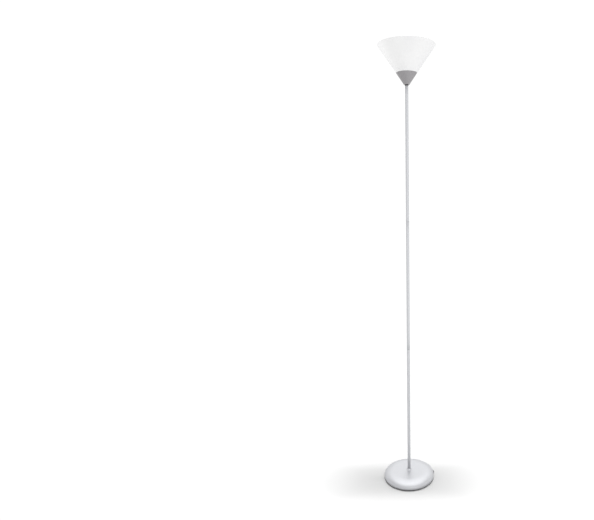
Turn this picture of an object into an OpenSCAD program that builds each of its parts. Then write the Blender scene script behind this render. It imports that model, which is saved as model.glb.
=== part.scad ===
// Torchiere floor lamp: a weighted domed base, a pole of three screwed
// tubes, a conical cup round a screw lampholder, and an opal cone shade.
// Millimetres, +Z up, origin on the floor at the centre of the base.

/* [Overall] */
// Height of the shade's rim above the floor
total_h = 1800; // [1500:10:2000]

/* [Base] */
// Widest diameter of the base
base_d = 216; // [180:2:260]
// Height of the base's flat top above the floor
base_h = 34; // [30:1:40]
// Diameter of the flat area on top of the base
base_flat_d = 132; // [90:2:140]
// Height of the base's widest point above the floor
base_belly_h = 11.5; // [9:0.5:13]
// How far the base's lower edge tucks in under its widest point
base_tuck = 6; // [4:0.5:8]
// Sheet thickness of the pressed base cover
cover_wall = 1.2; // [0.8:0.1:2]
// Thickness of the plate that closes the base
plate_t = 1.5; // [1:0.1:2]
// Height of the rubber feet
foot_h = 2; // [1.8:0.1:4]
// Diameter of the rubber feet
foot_d = 16; // [12:1:20]
// Height of the conical collar at the foot of the pole
collar_h = 7; // [4:0.5:10]
// Diameter of that collar where it meets the base
collar_d = 23; // [16:0.5:26]
// Direction of the cord entry, turned from +X towards +Y
cord_angle = 10; // [0:1:90]
// Height of the cord entry's axis
cord_z = 10; // [9:0.5:12]

/* [Pole] */
// Outer diameter of the pole's tubes
pole_d = 13; // [12.6:0.1:19]
// Wall of the pole's tubes
pole_wall = 0.7; // [0.5:0.1:0.9]
// Length of the threaded bush in each tube end
bush_l = 12; // [8:1:20]
// Length of the hollow studs that join two tubes
joint_stud_l = 20; // [14:1:30]

/* [Cup] */
// Diameter of the cup's rim
cup_top_d = 82.4; // [70:0.2:110]
// Diameter of the flat underside of the cup
cup_bottom_d = 22.2; // [21:0.2:30]
// Height of the cup
cup_h = 43.5; // [42:0.5:60]
// Wall of the cup
cup_wall = 1.8; // [1.2:0.1:2.5]
// Radial gap between the pole and the hole it enters, which a sleeve fills
cup_hole_gap = 0.8; // [0.6:0.1:1]
// How far that sleeve shows below the cup
sleeve_drop = 3.6; // [2:0.2:8]

/* [Shade] */
// Diameter of the shade's rim
shade_d = 228; // [180:2:300]
// Height of the shade above the cup's rim
shade_h = 103.5; // [96:0.5:160]
// Wall of the shade
shade_wall = 1.6; // [1.2:0.1:2.5]
// How far the shade's floor lies below the cup's rim
shade_floor_drop = 3; // [2.5:0.5:4]

/* [Bulb] */
// Diameter of the bulb's globe
bulb_d = 55; // [45:1:60]
// Length of the bulb from its contact to the top of its globe
bulb_l = 95; // [90:1:110]

/* [Hidden] */
$fn = 72;

// Gaps
slip = 0.3;           // pieces that are put together by hand
thread_gap = 0.05;    // radial, between a stud and what it screws into
press_gap = 0.02;     // radial, round a pressed-in bush
seat_gap = 0.05;      // under a face that rests on a piece it can lift off

// Hollow M10 thread used all the way up the lamp
stud_r = 5;
stud_bore_r = 3.5;
hex_across_flats = 14;
nut_t = 4;
washer_t = 0.8;

// Base
base_r = base_d / 2;
flat_r = base_flat_d / 2;
lip_r = base_r - base_tuck;
plate_z = foot_h;
plate_top = plate_z + plate_t;
plate_r = lip_r - slip;
cavity_top = base_h - cover_wall;
weight_gap = 1;       // between the cast weight and the cover's side
weight_pad_in = 8;    // how far in from the flat's edge the weight meets the cover
pocket_r = 15;
pocket_top = cavity_top - 9;
clamp_washer_t = 1.5;
clamp_washer_r = 13;
stud_foot_z = pocket_top - clamp_washer_t - nut_t - 1;
stud_rise = bush_l - 1;
pole_foot_z = base_h + collar_h;
screw_r = 1.7;
screw_head_r = 3.4;
screw_head_t = 1.4;
screw_l = 9;
plate_fixings = 3;
fixing_ring_r = base_r * 0.55;
fixing_angle = 60;
feet = 4;
feet_ring_r = lip_r - foot_d / 2 - 4;
feet_angle = 45;
edge_steps = 14;      // straight pieces in each rounded stretch of the base

// Flex inside the lamp
flex_r = 2.7;
core_r = 1;
core_x = 1.35;        // how far each core stands from the flex's axis
core_straight = 0.3;  // straight piece at each end of a core
flex_bend_r = 8;
channel_w = 2 * flex_r + 3.6;

// Cord entry
gland_bore_r = 2.9;
gland_body_r = 4.4;
gland_flange_r = 5.5;
gland_flange_t = 1.5;
gland_nose_r = 4.1;
gland_nose_l = 1.2;
gland_in_l = 8;
gland_grip_t = 1.4;
gland_tip_r = base_r + 0.1 + gland_flange_t + gland_nose_l;
clamp_r = base_r - 34;
clamp_w = 20;
clamp_deep = 7;
clamp_t = 2;
clamp_pitch = 13;
clamp_screw_r = 1.25;
clamp_head_r = 2.3;
clamp_head_t = 1.6;
clamp_bar_z = cord_z + flex_r;
channel_top = clamp_bar_z + clamp_t + clamp_head_t + 1;

// Pole
pole_r = pole_d / 2;
pole_in_r = pole_r - pole_wall;
tube_chamfer = 0.3;

// Cup and what stands in it, upwards from the cup's underside
cup_z = total_h - shade_h - cup_h;
cup_rim_z = cup_z + cup_h;
cup_top_r = cup_top_d / 2;
cup_bottom_r = cup_bottom_d / 2;
cup_slope = (cup_top_r - cup_bottom_r) / cup_h;
cup_wall_across = cup_wall * sqrt(1 + cup_slope * cup_slope);
cup_floor_t = 2.5;
web_t = 2.5;
boss_r = pole_r + cup_hole_gap + 1.9;
holder_flange_h = 27;
shade_floor_z = cup_rim_z - shade_floor_drop;
dome_z = shade_floor_z - seat_gap - holder_flange_h;
nut_z = dome_z - nut_t;
washer_z = nut_z - washer_t;
web_z = washer_z - web_t;

// Pole lengths follow from where the cup's web and the collar lie
pole_top_z = web_z;
tube_l = (pole_top_z - pole_foot_z) / 3;
lower_joint_z = pole_foot_z + tube_l;
upper_joint_z = pole_foot_z + 2 * tube_l;

// Lampholder, upwards from the dome's foot
dome_neck_r = 8;
dome_r = 19.2;
dome_wall = 2;
dome_neck_h = 5;
dome_shoulder_h = 13;
dome_thread_h = 9;
dome_h = 24.5;
skirt_h = 53;
skirt_bore_r = 15;
skirt_collar_r = 20.6;
skirt_collar_z = 20;
dome_spigot_r = 18.2;
flange_r = 23;
flange_t = 2.5;
insert_r = 15.9;
insert_z = 17;
insert_shoulder_z = dome_h;
insert_top_z = 29.5;
ledge_r = insert_r - 1;
ledge_t = 1.5;

// Outer thread of the lampholder and its ring
ring_pitch = 2.5;
ring_thread_r = 19.4;
ring_thread_depth = 0.35;
ring_thread_gap = 0.3;
ring_thread_h = 15;
ring_h = 8;
ring_r = 24.4;
ring_grips = 12;
grip_depth = 0.6;

// Rounded E27 thread: mean radius, half depth and pitch
cap_pitch = 3.629;
cap_r = 12.55;
cap_thread_depth = 0.5;
cap_thread_gap = 0.3;
cap_wall = 0.5;
shell_r = 14.4;
shell_z = insert_top_z;
shell_top_z = 51.5;
thread_sides = 32;
levels_per_turn = 6;

// Bulb, upwards from its contact
contact_rise = 1.5;
bulb_z = dome_z + insert_top_z + contact_rise + seat_gap;
tip_r = 4.4;
tip_h = 1.5;
insulator_h = 3.5;
insulator_r = 10;
cap_z = tip_h + insulator_h;
cap_thread_h = 17;
cap_h = 22;
cap_top_r = 13.4;
neck_flare = 0.35;    // how far the cap opens out from the glass at its edge
neck_z = cap_z + cap_h - 1;
neck_r = cap_top_r - cap_wall - neck_flare;
glass_wall = 0.8;
globe_r = bulb_d / 2;
globe_z = bulb_l - globe_r;
globe_low_angle = 35;
stem_r = 4;
stem_h = 26;
filament_r = 9;
filament_wire_r = 0.5;

// Wires in the dome: terminals are at plus and minus terminal_x
terminal_x = 11;
terminal_w = 5.6;
terminal_h = 4;
terminal_z = insert_z - terminal_h;
terminal_screw_r = 1.6;
flex_top_z = dome_thread_h + 0.6;
strap_t = 0.6;
strap_w = 5;
contact_strap_x = -11.4;
shell_strap_x = 13.4;

// ---- shared shapes ----

// A round tube from z0 to z1
module tube(outer_r, inner_r, z0, z1) {
    translate([0, 0, z0]) difference() {
        cylinder(h = z1 - z0, r = outer_r);
        translate([0, 0, -1]) cylinder(h = z1 - z0 + 2, r = inner_r);
    }
}

// Points of a quarter ellipse from angle a0 to a1 about (cx, cy)
function arc_points(cx, cy, rx, ry, a0, a1, steps) = [
    for (i = [0 : steps]) let (a = a0 + (a1 - a0) * i / steps)
        [cx + rx * cos(a), cy + ry * sin(a)]
];

// Points of a curve from p0 to p2 that leaves and arrives towards p1
function bend_points(p0, p1, p2, steps) = [
    for (i = [0 : steps]) let (t = i / steps)
        p0 * (1 - t) * (1 - t) + p1 * 2 * t * (1 - t) + p2 * t * t
];

function reversed(list) = [for (i = [len(list) - 1 : -1 : 0]) list[i]];

// A solid skinned through closed rings of points, the last joined to the first
module ring_skin(rings) {
    n = len(rings[0]);
    m = len(rings);
    polyhedron(
        points = [for (ring = rings) each ring],
        faces = [
            for (i = [0 : m - 1], j = [0 : n - 1])
                let (a = i * n + j, b = i * n + (j + 1) % n,
                     c = ((i + 1) % m) * n + (j + 1) % n, d = ((i + 1) % m) * n + j)
                each [[a, c, b], [a, d, c]]
        ]
    );
}

// One ring of a threaded wall: the ridge climbs right-handed, one pitch a turn,
// and lobes is how many grips stand out round it
function thread_ring(z, r, depth, pitch, lobes = 0, lobe_depth = 0, sides = thread_sides) = [
    for (j = [0 : sides - 1])
        let (a = 360 * j / sides,
             radius = r + depth * cos(a - 360 * z / pitch) + lobe_depth * cos(lobes * a))
            [radius * cos(a), radius * sin(a), z]
];

// Rings of a thread from z0 to z1 that rises out of the wall at root_r over half
// a turn and sinks back into it
function thread_rings(z0, z1, r, depth, pitch, root_r) =
    let (steps = ceil((z1 - z0) / pitch * levels_per_turn))
    [
        for (i = [0 : steps])
            let (z = z0 + (z1 - z0) * i / steps,
                 share = min(1, (z - z0) / (pitch / 2), (z1 - z) / (pitch / 2)))
                thread_ring(z, root_r + (r - root_r) * share, depth * share, pitch)
    ];

function plain_ring(z, r) = thread_ring(z, r, 0, 1);

// A wire of round section along a route of points in the plane y = 0
module wire(route, r, sides = 8) {
    last = len(route) - 1;
    rings = [
        for (i = [0 : last])
            let (ahead = route[min(i + 1, last)] - route[max(i - 1, 0)],
                 along = ahead / norm(ahead))
            [
                for (j = [0 : sides - 1])
                    let (a = 360 * j / sides)
                        [route[i][0] - r * cos(a) * along[1], r * sin(a), route[i][1] + r * cos(a) * along[0]]
            ]
    ];
    polyhedron(
        points = [for (ring = rings) each ring],
        faces = concat(
            [[for (j = [0 : sides - 1]) j]],
            [[for (j = [sides - 1 : -1 : 0]) last * sides + j]],
            [
                for (i = [0 : last - 1], j = [0 : sides - 1])
                    let (a = i * sides + j, b = i * sides + (j + 1) % sides)
                    each [[a, a + sides, b], [b, a + sides, b + sides]]
            ]
        )
    );
}

module hex_nut(z, across_flats, height) {
    translate([0, 0, z]) difference() {
        cylinder(h = height, r = across_flats / sqrt(3), $fn = 6);
        translate([0, 0, -1]) cylinder(h = height + 2, r = stud_r + thread_gap);
    }
}

module hollow_stud(z0, z1) {
    tube(stud_r, stud_bore_r, z0, z1);
}

module place_round(count, ring_r, first_angle) {
    for (i = [0 : count - 1])
        rotate([0, 0, first_angle + 360 * i / count]) translate([ring_r, 0, 0]) children();
}

// Children stand on the cord's axis, which runs outwards along +X here
module along_cord() {
    rotate([0, 0, cord_angle]) children();
}

module radial_cylinder(r, from_r, to_r, z) {
    translate([from_r, 0, z]) rotate([0, 90, 0]) cylinder(h = to_r - from_r, r = r);
}

// ---- base ----

module rubber_feet() {
    color("#26262a") place_round(feet, feet_ring_r, feet_angle)
        cylinder(h = foot_h, r = foot_d / 2);
}

module base_plate() {
    color("#303034") difference() {
        translate([0, 0, plate_z]) cylinder(h = plate_t, r = plate_r);
        place_round(plate_fixings, fixing_ring_r, fixing_angle)
            translate([0, 0, plate_z - 1]) cylinder(h = plate_t + 2, r = screw_r + slip);
        clamp_places() translate([0, 0, plate_z - 1])
            cylinder(h = plate_t + 2, r = clamp_screw_r + thread_gap);
    }
}

module plate_screws() {
    color("#b9bbbd") place_round(plate_fixings, fixing_ring_r, fixing_angle) {
        translate([0, 0, plate_z - screw_head_t]) cylinder(h = screw_head_t, r = screw_head_r);
        translate([0, 0, plate_z]) cylinder(h = screw_l, r = screw_r);
    }
}

// Half section of the cover, pulled in by wall all over its rounded side
function cover_side(wall) = concat(
    arc_points(lip_r, base_belly_h, base_tuck - wall, base_belly_h - foot_h - wall, 270, 360, edge_steps),
    arc_points(flat_r, base_belly_h, base_r - flat_r - wall, base_h - base_belly_h - wall, 0, 90, edge_steps)
);

module base_weight() {
    side_gap = cover_wall + weight_gap;
    color("#9b9890") difference() {
        rotate_extrude() polygon(concat(
            [[stud_r + slip, cavity_top], [stud_r + slip, plate_top], [lip_r - weight_gap, plate_top]],
            [for (p = cover_side(side_gap)) if (p[1] > plate_top + 0.5) p],
            [[flat_r - weight_pad_in + 2, cavity_top - weight_gap], [flat_r - weight_pad_in, cavity_top]]
        ));
        translate([0, 0, plate_top - 1]) cylinder(h = pocket_top - plate_top + 1, r = pocket_r);
        along_cord() {
            translate([0, -channel_w / 2, plate_top - 1])
                cube([base_r, channel_w, channel_top - plate_top + 1]);
            translate([clamp_r - clamp_deep / 2 - 1, -clamp_w / 2 - 1, plate_top - 1])
                cube([clamp_deep + 2, clamp_w + 2, channel_top - plate_top + 1]);
            translate([base_r - gland_in_l - 4, -gland_flange_r - 2, plate_top - 1])
                cube([base_r, 2 * gland_flange_r + 4, channel_top - plate_top + 1]);
        }
        place_round(plate_fixings, fixing_ring_r, fixing_angle)
            translate([0, 0, plate_top - 1]) cylinder(h = screw_l + 1, r = screw_r + press_gap);
    }
}

module base_cover() {
    color("#cfd1d6") difference() {
        rotate_extrude() polygon(concat(
            cover_side(0),
            [[stud_r + slip, base_h], [stud_r + slip, cavity_top]],
            reversed(cover_side(cover_wall))
        ));
        along_cord() radial_cylinder(gland_body_r + 0.1, base_r - 8, base_r + 8, cord_z);
    }
}

module base_nut() {
    color("#c9b37a") hex_nut(pocket_top - clamp_washer_t - nut_t, hex_across_flats + 3, nut_t);
}

module base_washer() {
    color("#b9bbbd")
        tube(clamp_washer_r, stud_r + slip, pocket_top - clamp_washer_t, pocket_top);
}

module base_stud() {
    color("#c9b37a") hollow_stud(stud_foot_z, pole_foot_z + stud_rise);
}

module pole_collar() {
    color("#dcdde0") rotate_extrude() polygon(concat(
        [[stud_r + slip, base_h], [collar_d / 2, base_h], [collar_d / 2, base_h + 0.6]],
        bend_points([collar_d / 2 - 0.3, base_h + 0.9],
                    [pole_r + 0.7, base_h + 1.6],
                    [pole_r + 0.35, base_h + collar_h], 6),
        [[stud_r + slip, base_h + collar_h]]
    ));
}

// ---- cord entry and flex ----

module cord_gland() {
    color("#2b2b2e") along_cord() difference() {
        union() {
            radial_cylinder(gland_body_r, base_r - gland_in_l, base_r + 0.2, cord_z);
            radial_cylinder(gland_flange_r, base_r + 0.1, base_r + 0.1 + gland_flange_t, cord_z);
            radial_cylinder(gland_nose_r, base_r + gland_flange_t, gland_tip_r, cord_z);
            radial_cylinder(gland_flange_r - 0.3, base_r - 6 - gland_grip_t, base_r - 6, cord_z);
        }
        radial_cylinder(gland_bore_r, base_r - gland_in_l - 1, base_r + 8, cord_z);
    }
}

module clamp_places() {
    along_cord() for (side = [-1, 1]) translate([clamp_r, side * clamp_pitch / 2, 0]) children();
}

module clamp_block(z0, z1) {
    difference() {
        along_cord() translate([clamp_r - clamp_deep / 2, -clamp_w / 2, z0])
            cube([clamp_deep, clamp_w, z1 - z0]);
        clamp_places() cylinder(h = base_h, r = clamp_screw_r + thread_gap);
    }
}

module cord_clamp_saddle() {
    color("#e6e4dc") difference() {
        clamp_block(plate_top, cord_z);
        along_cord() radial_cylinder(flex_r + press_gap, clamp_r - clamp_deep, clamp_r + clamp_deep, cord_z);
    }
}

module cord_clamp_bar() {
    color("#e6e4dc") clamp_block(clamp_bar_z, clamp_bar_z + clamp_t);
}

module cord_clamp_screws() {
    bar_top = clamp_bar_z + clamp_t;
    color("#b9bbbd") clamp_places() {
        translate([0, 0, bar_top]) cylinder(h = clamp_head_t, r = clamp_head_r);
        translate([0, 0, plate_z]) cylinder(h = bar_top - plate_z, r = clamp_screw_r);
    }
}

// In through the gland, under the clamp, round one bend and up into the lampholder
module inner_flex() {
    color("#232326") along_cord() wire(concat(
        [[gland_tip_r - 0.4, cord_z]],
        arc_points(flex_bend_r, cord_z + flex_bend_r, flex_bend_r, flex_bend_r, 270, 180, 8),
        [[0, dome_z + flex_top_z]]
    ), flex_r, 16);
}

// One core from the end of the flex, up, across and up again to its terminal
module core_wire(side) {
    foot = [side * core_x, dome_z + flex_top_z];
    terminal = [side * terminal_x, dome_z + terminal_z];
    bend_r = (terminal[1] - foot[1]) / 2 - core_straight;
    turn = [side * bend_r, core_straight];
    wire(concat(
        [foot],
        arc_points(foot[0] + turn[0], foot[1] + turn[1], turn[0], bend_r, 180, 90, 5),
        arc_points(terminal[0] - turn[0], terminal[1] - turn[1], turn[0], bend_r, 270, 360, 5),
        [terminal]
    ), core_r);
}

module live_wire() {
    color("#8a5a3c") core_wire(-1);
}

module neutral_wire() {
    color("#3f6fb0") core_wire(1);
}

// ---- pole ----

module pole_tube(z0) {
    color("#d3d5da") rotate_extrude() polygon([
        [pole_in_r, z0], [pole_r - tube_chamfer, z0], [pole_r, z0 + tube_chamfer],
        [pole_r, z0 + tube_l - tube_chamfer], [pole_r - tube_chamfer, z0 + tube_l], [pole_in_r, z0 + tube_l]
    ]);
}

module lower_tube() { pole_tube(pole_foot_z); }
module middle_tube() { pole_tube(lower_joint_z); }
module upper_tube() { pole_tube(upper_joint_z); }

module tube_bush(z0) {
    color("#c9b37a") tube(pole_in_r - press_gap, stud_r + thread_gap, z0, z0 + bush_l);
}

module lower_tube_foot_bush() { tube_bush(pole_foot_z); }
module lower_tube_top_bush() { tube_bush(lower_joint_z - bush_l); }
module middle_tube_foot_bush() { tube_bush(lower_joint_z); }
module middle_tube_top_bush() { tube_bush(upper_joint_z - bush_l); }
module upper_tube_foot_bush() { tube_bush(upper_joint_z); }
module upper_tube_top_bush() { tube_bush(pole_top_z - bush_l); }

module joint_stud(z) {
    color("#c9b37a") hollow_stud(z - joint_stud_l / 2, z + joint_stud_l / 2);
}

module lower_joint_stud() { joint_stud(lower_joint_z); }
module upper_joint_stud() { joint_stud(upper_joint_z); }

// ---- cup and its fixing ----

// Thin plastic sleeve on the pole's end, which centres it in the cup's socket
module pole_sleeve() {
    color("#1f1f22") tube(pole_r + cup_hole_gap - thread_gap, pole_r + press_gap,
                          cup_z - sleeve_drop, pole_top_z - slip);
}

module cup() {
    inner_floor_z = cup_z + cup_floor_t;
    color("#9a999b") union() {
        rotate_extrude() polygon([
            [pole_r + cup_hole_gap, cup_z], [cup_bottom_r, cup_z], [cup_top_r, cup_rim_z],
            [cup_top_r - cup_wall_across, cup_rim_z],
            [cup_bottom_r + cup_slope * cup_floor_t - cup_wall_across, inner_floor_z],
            [pole_r + cup_hole_gap, inner_floor_z]
        ]);
        tube(boss_r, pole_r + cup_hole_gap, cup_z + 0.5, web_z);
        tube(boss_r, stud_r + thread_gap, web_z, web_z + web_t);
    }
}

module nipple() {
    color("#c9b37a") hollow_stud(pole_top_z - bush_l + 1, dome_z + dome_thread_h - 1);
}

module lock_washer() {
    color("#b9bbbd") tube(boss_r - 0.4, stud_r + thread_gap, washer_z, nut_z);
}

module lock_nut() {
    color("#c9b37a") hex_nut(nut_z, hex_across_flats, nut_t);
}

// ---- lampholder ----

module holder_dome() {
    shoulder = bend_points([dome_neck_r, dome_neck_h], [dome_r, dome_neck_h], [dome_r, dome_shoulder_h], 8);
    inner_r = dome_r - dome_wall;
    inner_neck_z = dome_neck_h + dome_wall;
    inside = bend_points([dome_neck_r + 1, inner_neck_z], [inner_r, inner_neck_z],
                         [inner_r, dome_shoulder_h], 8);
    color("#f2f1ee") translate([0, 0, dome_z]) rotate_extrude() polygon(concat(
        [[stud_r + thread_gap, 0], [dome_neck_r, 0]],
        shoulder,
        [[dome_r, skirt_collar_z], [dome_spigot_r, skirt_collar_z], [dome_spigot_r, dome_h],
         [insert_r + 0.2, dome_h], [insert_r + 0.2, insert_z],
         [ledge_r, insert_z], [ledge_r, insert_z - ledge_t], [inner_r, insert_z - ledge_t - 1]],
        reversed(inside),
        [[dome_neck_r, dome_thread_h], [stud_r + thread_gap, dome_thread_h]]
    ));
}

module holder_skirt() {
    thread_z = holder_flange_h + 0.5;
    root_r = ring_thread_r - ring_thread_depth;
    color("#f2f1ee") translate([0, 0, dome_z]) ring_skin(concat(
        [plain_ring(skirt_collar_z, skirt_collar_r),
         plain_ring(holder_flange_h - flange_t, skirt_collar_r),
         plain_ring(holder_flange_h - flange_t, flange_r),
         plain_ring(holder_flange_h, flange_r),
         plain_ring(holder_flange_h, root_r)],
        thread_rings(thread_z, thread_z + ring_thread_h, ring_thread_r, ring_thread_depth,
                     ring_pitch, root_r),
        [plain_ring(thread_z + ring_thread_h + 0.4, root_r - 0.6),
         plain_ring(skirt_h - 0.8, root_r - 0.6),
         plain_ring(skirt_h, root_r - 1.4),
         plain_ring(skirt_h, skirt_bore_r),
         plain_ring(dome_h, skirt_bore_r),
         plain_ring(dome_h, dome_spigot_r + 0.15),
         plain_ring(skirt_collar_z, dome_spigot_r + 0.15)]
    ));
}

module holder_insert() {
    color("#e9e6df") translate([0, 0, dome_z]) difference() {
        union() {
            translate([0, 0, insert_z]) cylinder(h = insert_shoulder_z - insert_z, r = insert_r);
            translate([0, 0, insert_shoulder_z])
                cylinder(h = insert_top_z - insert_shoulder_z, r = skirt_bore_r - slip);
        }
        for (x = [contact_strap_x, shell_strap_x])
            translate([x - strap_t / 2 - 0.1, -strap_w / 2 - 0.1, insert_z - 1])
                cube([strap_t + 0.2, strap_w + 0.2, insert_top_z - insert_z + 2]);
    }
}

// Shell with the bulb's rounded thread rolled into its wall
module screw_shell() {
    bore_r = cap_r + cap_thread_gap;
    root_r = bore_r + cap_thread_depth;
    color("#d9c27f") translate([0, 0, dome_z]) ring_skin(concat(
        [plain_ring(shell_z, shell_r), plain_ring(shell_top_z, shell_r), plain_ring(shell_top_z, root_r)],
        reversed(thread_rings(shell_z + 3.5, shell_top_z - 0.5, bore_r, cap_thread_depth, cap_pitch, root_r)),
        [plain_ring(shell_z, root_r)]
    ));
}

module centre_contact() {
    outer_x = contact_strap_x - strap_t / 2;
    foot_z = insert_z - insert_top_z;
    color("#d9c27f") translate([0, strap_w / 2, dome_z + insert_top_z]) rotate([90, 0, 0])
        linear_extrude(height = strap_w) polygon([
            [outer_x, foot_z], [outer_x + strap_t, foot_z], [outer_x + strap_t, 0], [-5, 0],
            [-2, contact_rise - strap_t], [3.5, contact_rise - strap_t], [3.5, contact_rise],
            [-2.3, contact_rise], [-5.3, strap_t], [outer_x, strap_t]
        ]);
}

module shell_strap() {
    color("#d9c27f") translate([shell_strap_x - strap_t / 2, -strap_w / 2, dome_z + insert_z])
        cube([strap_t, strap_w, insert_top_z - insert_z]);
}

module terminal_blocks() {
    color("#c9b37a") for (side = [-1, 1])
        translate([side * terminal_x - terminal_w / 2, -terminal_w / 2, dome_z + terminal_z])
            cube([terminal_w, terminal_w, terminal_h]);
}

module terminal_screws() {
    color("#b9bbbd") for (side = [-1, 1])
        translate([side * terminal_x, 0, dome_z + terminal_z + terminal_h / 2]) rotate([90, 0, 0])
            translate([0, 0, terminal_w / 2]) cylinder(h = 1.4, r = terminal_screw_r);
}

// ---- shade ----

module shade() {
    step_z = cup_rim_z + slip;
    step_r = cup_top_r + 0.2;
    slope = (shade_d / 2 - step_r) / (total_h - step_z);
    wall_across = shade_wall * sqrt(1 + slope * slope);
    neck_r_top = cup_top_r - cup_wall_across - slip;
    neck_r_low = neck_r_top - cup_slope * (step_z - shade_floor_z);
    inner_step_z = step_z + shade_wall;
    rim_r = shade_d / 2;
    lip = wall_across / 2;
    color("#f7f8f8") rotate_extrude() polygon(concat(
        [[ring_thread_r + ring_thread_depth + slip, shade_floor_z], [neck_r_low, shade_floor_z],
         [neck_r_top, step_z], [step_r, step_z]],
        arc_points(rim_r - lip, total_h - lip, lip, lip, 0, 180, 8),
        [[step_r + slope * shade_wall - wall_across, inner_step_z],
         [neck_r_top - shade_wall, inner_step_z],
         [neck_r_low - shade_wall, shade_floor_z + shade_wall],
         [ring_thread_r + ring_thread_depth + slip, shade_floor_z + shade_wall]]
    ));
}

// Nut that clamps the shade's floor down on the lampholder's flange
module shade_ring() {
    z0 = shade_floor_z - dome_z + shade_wall + seat_gap;
    z1 = z0 + ring_h;
    levels = ceil(ring_h / ring_pitch * levels_per_turn);
    bore_r = ring_thread_r + ring_thread_gap;
    sides = thread_sides * 2;
    color("#f2f1ee") translate([0, 0, dome_z]) ring_skin(concat(
        [thread_ring(z0, ring_r - grip_depth, 0, 1, 0, 0, sides),
         thread_ring(z0 + 0.8, ring_r, 0, 1, ring_grips, grip_depth, sides),
         thread_ring(z1 - 0.8, ring_r, 0, 1, ring_grips, grip_depth, sides),
         thread_ring(z1, ring_r - grip_depth, 0, 1, 0, 0, sides)],
        reversed([
            for (i = [0 : levels])
                thread_ring(z0 + ring_h * i / levels, bore_r, ring_thread_depth, ring_pitch, 0, 0, sides)
        ])
    ));
}

// ---- bulb ----

module bulb_contact() {
    color("#c7c9cb") translate([0, 0, bulb_z]) rotate_extrude() polygon(concat(
        [[0, 0], [tip_r * 0.55, 0]],
        arc_points(tip_r * 0.55, tip_h, tip_r * 0.45, tip_h, 270, 360, 4),
        [[0, tip_h]]
    ));
}

module bulb_insulator() {
    color("#1d1d20") translate([0, 0, bulb_z]) rotate_extrude() polygon([
        [0, tip_h], [tip_r + 0.6, tip_h], [insulator_r, cap_z - 0.3], [insulator_r, cap_z], [0, cap_z]
    ]);
}

module bulb_cap() {
    thread_low_r = cap_r - cap_thread_depth;
    color("#c7c9cb") translate([0, 0, bulb_z]) ring_skin(concat(
        [plain_ring(cap_z, insulator_r - 0.6),
         plain_ring(cap_z, insulator_r + 0.4),
         plain_ring(cap_z + 1.6, thread_low_r)],
        cap_thread(cap_z + 1.6, cap_z + cap_thread_h),
        [plain_ring(cap_z + cap_thread_h + 0.3, thread_low_r + 0.3),
         plain_ring(cap_z + cap_h - 1, cap_top_r - 0.2),
         plain_ring(cap_z + cap_h, cap_top_r),
         plain_ring(cap_z + cap_h, cap_top_r - cap_wall),
         plain_ring(cap_z + cap_thread_h, thread_low_r - cap_wall),
         plain_ring(cap_z + 2.2, thread_low_r - cap_wall)]
    ));
}

// The cap's thread, in step with the shell's: its phase counts from the dome's foot
function cap_thread(z0, z1) =
    let (lift = bulb_z - dome_z,
         rings = thread_rings(z0 + lift, z1 + lift, cap_r, cap_thread_depth, cap_pitch,
                              cap_r - cap_thread_depth))
    [for (ring = rings) [for (p = ring) [p[0], p[1], p[2] - lift]]];

// Half section of the glass, pulled in by wall
function globe_side(wall) =
    let (low_r = globe_r * cos(globe_low_angle),
         low_z = globe_z - globe_r * sin(globe_low_angle),
         bend_z = low_z - (low_r - neck_r) / tan(globe_low_angle))
    concat(
        bend_points([neck_r - wall, neck_z], [neck_r - wall, max(neck_z + 1, bend_z)],
                    [low_r - wall * cos(globe_low_angle), low_z + wall * sin(globe_low_angle)], 10),
        arc_points(0, globe_z, globe_r - wall, globe_r - wall, -globe_low_angle + 6, 90, 20)
    );

module bulb_globe() {
    color("#fbfbfa") translate([0, 0, bulb_z]) rotate_extrude() polygon(concat(
        globe_side(0), reversed(globe_side(glass_wall))
    ));
}

module bulb_stem() {
    color("#dfe6e8") translate([0, 0, bulb_z]) {
        translate([0, 0, neck_z]) cylinder(h = 2, r = neck_r - glass_wall - 0.1);
        translate([0, 0, neck_z]) cylinder(h = stem_h, r = stem_r);
    }
}

// Two support wires with the filament strung between their tips
module bulb_filament() {
    foot = [3.2, neck_z + stem_h];
    tip = [filament_r, foot[1] + 12];
    half = concat(
        [foot, foot + [0, 2]],
        bend_points(foot + [0, 3], foot + [0, 5], tip - [1.5, 3], 3),
        bend_points(tip - [0.6, 1.4], tip, tip - [1.5, 0], 3)
    );
    color("#8f9093") translate([0, 0, bulb_z])
        wire(concat(half, [for (p = reversed(half)) [-p[0], p[1]]]), filament_wire_r, 6);
}

rubber_feet();
base_plate();
plate_screws();
base_weight();
base_cover();
base_nut();
base_washer();
base_stud();
pole_collar();
cord_gland();
cord_clamp_saddle();
cord_clamp_bar();
cord_clamp_screws();
lower_tube();
middle_tube();
upper_tube();
lower_tube_foot_bush();
lower_tube_top_bush();
middle_tube_foot_bush();
middle_tube_top_bush();
upper_tube_foot_bush();
upper_tube_top_bush();
lower_joint_stud();
upper_joint_stud();
inner_flex();
live_wire();
neutral_wire();
pole_sleeve();
cup();
nipple();
lock_washer();
lock_nut();
holder_dome();
holder_skirt();
holder_insert();
screw_shell();
centre_contact();
shell_strap();
terminal_blocks();
terminal_screws();
shade();
shade_ring();
bulb_contact();
bulb_insulator();
bulb_cap();
bulb_globe();
bulb_stem();
bulb_filament();
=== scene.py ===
# Torchiere floor lamp: looks for each piece, in the order the lamp is put together.
# Metres, +Z up, origin on the floor at the centre of the base.
import math

import bmesh
import bpy
from mathutils import Matrix, Vector


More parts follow.
